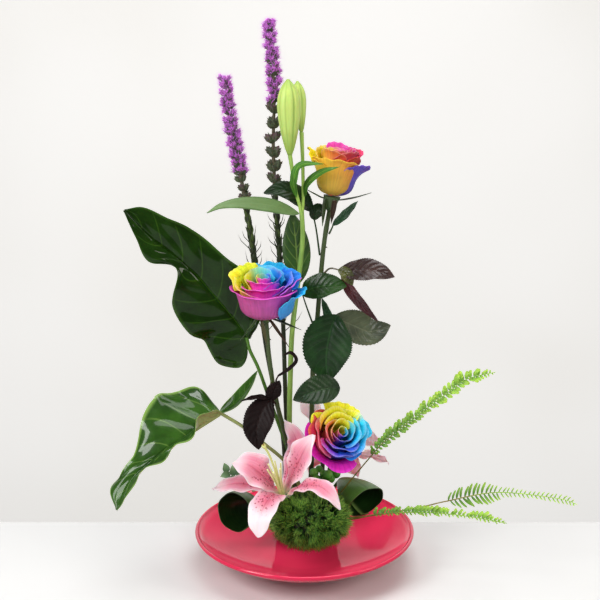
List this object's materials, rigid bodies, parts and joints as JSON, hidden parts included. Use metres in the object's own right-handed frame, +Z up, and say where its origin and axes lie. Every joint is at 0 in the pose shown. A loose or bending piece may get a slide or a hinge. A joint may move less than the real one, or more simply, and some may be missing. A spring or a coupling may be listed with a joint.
{
  "type": "flower arrangement in bowl",
  "caption": "Tall asymmetric arrangement of rainbow-dyed roses, lilies, liatris, anthurium leaves and ferns held in foam in a shallow round glossy bowl.",
  "frame": {"origin": "centre of the flat underside of the bowl's foot, on the surface it stands on", "axes": "+Z up, along the tallest stems; -Y towards the front, the side that the open lily faces; +X to the right as seen from the front, where the ferns reach out"},
  "size_m": [0.4477, 0.22, 0.533],
  "materials": {
    "bowl_glaze": "gloss",
    "putty": "matte",
    "anchor_plastic": "satin",
    "foam": "matte",
    "rose_stem": "satin",
    "rose_leaf": "satin",
    "bronze_leaf": "satin",
    "petal_yellow": "satin",
    "petal_magenta": "satin",
    "petal_blue": "satin",
    "petal_violet": "satin",
    "lily_stem": "satin",
    "lily_bud": "satin",
    "lily_leaf": "satin",
    "lily_petal": "satin",
    "lily_style": "satin",
    "anthurium_leaf": "gloss",
    "rolled_leaf": "satin",
    "dianthus": "matte",
    "berry": "satin",
    "fern": "satin",
    "liatris_stem": "satin",
    "liatris": "satin"
  },
  "bodies": {
    "root": {"bowl": "bowl_glaze", "anchor_putty": "putty", "foam_anchor": "anchor_plastic", "upper_rose_stem": "rose_stem", "upper_rose_calyx": "rose_leaf", "upper_rose_bloom": "petal_yellow", "upper_rose_outer_petal_1": "petal_yellow", "upper_rose_outer_petal_2": "petal_violet", "middle_rose_stem": "rose_stem", "middle_rose_calyx": "rose_leaf", "middle_rose_bloom": "petal_magenta", "middle_rose_outer_petal_1": "petal_magenta", "middle_rose_outer_petal_2": "petal_blue", "lower_rose_stem": "rose_stem", "lower_rose_calyx": "rose_leaf", "lower_rose_bloom": "petal_yellow", "lower_rose_outer_petal_1": "petal_magenta", "lower_rose_outer_petal_2": "petal_blue", "upper_rose_leaf_1": "rose_leaf", "upper_rose_leaf_2": "rose_leaf", "upper_rose_leaf_3": "rose_leaf", "upper_rose_leaf_4": "bronze_leaf", "upper_rose_leaf_5": "rose_leaf", "upper_rose_leaf_6": "rose_leaf", "middle_rose_leaf_1": "bronze_leaf", "middle_rose_leaf_2": "bronze_leaf", "lily_bud_stem": "lily_stem", "lily_bud_front": "lily_bud", "lily_bud_back": "lily_bud", "lily_leaf_1": "lily_leaf", "lily_leaf_2": "lily_leaf", "lily_leaf_3": "lily_leaf", "lily_leaf_4": "lily_leaf", "open_lily_stem": "lily_stem", "open_lily_tepal_1": "lily_petal", "open_lily_tepal_2": "lily_petal", "open_lily_tepal_3": "lily_petal", "open_lily_tepal_4": "lily_petal", "open_lily_tepal_5": "lily_petal", "open_lily_tepal_6": "lily_petal", "open_lily_stamens": "lily_style", "open_lily_pistil": "lily_style", "back_lily": "lily_petal", "upper_anthurium_leaf": "anthurium_leaf", "lower_anthurium_leaf": "anthurium_leaf", "left_rolled_leaf": "rolled_leaf", "right_rolled_leaf": "rolled_leaf", "dianthus_ball": "dianthus", "berries": "berry", "fern_1": "fern", "fern_2": "fern", "fern_3": "fern", "sprig": "fern", "left_liatris_stem": "liatris_stem", "left_liatris_spike": "liatris", "right_liatris_stem": "liatris_stem", "right_liatris_spike": "liatris", "floral_foam": "foam"}
  },
  "joints": []
}
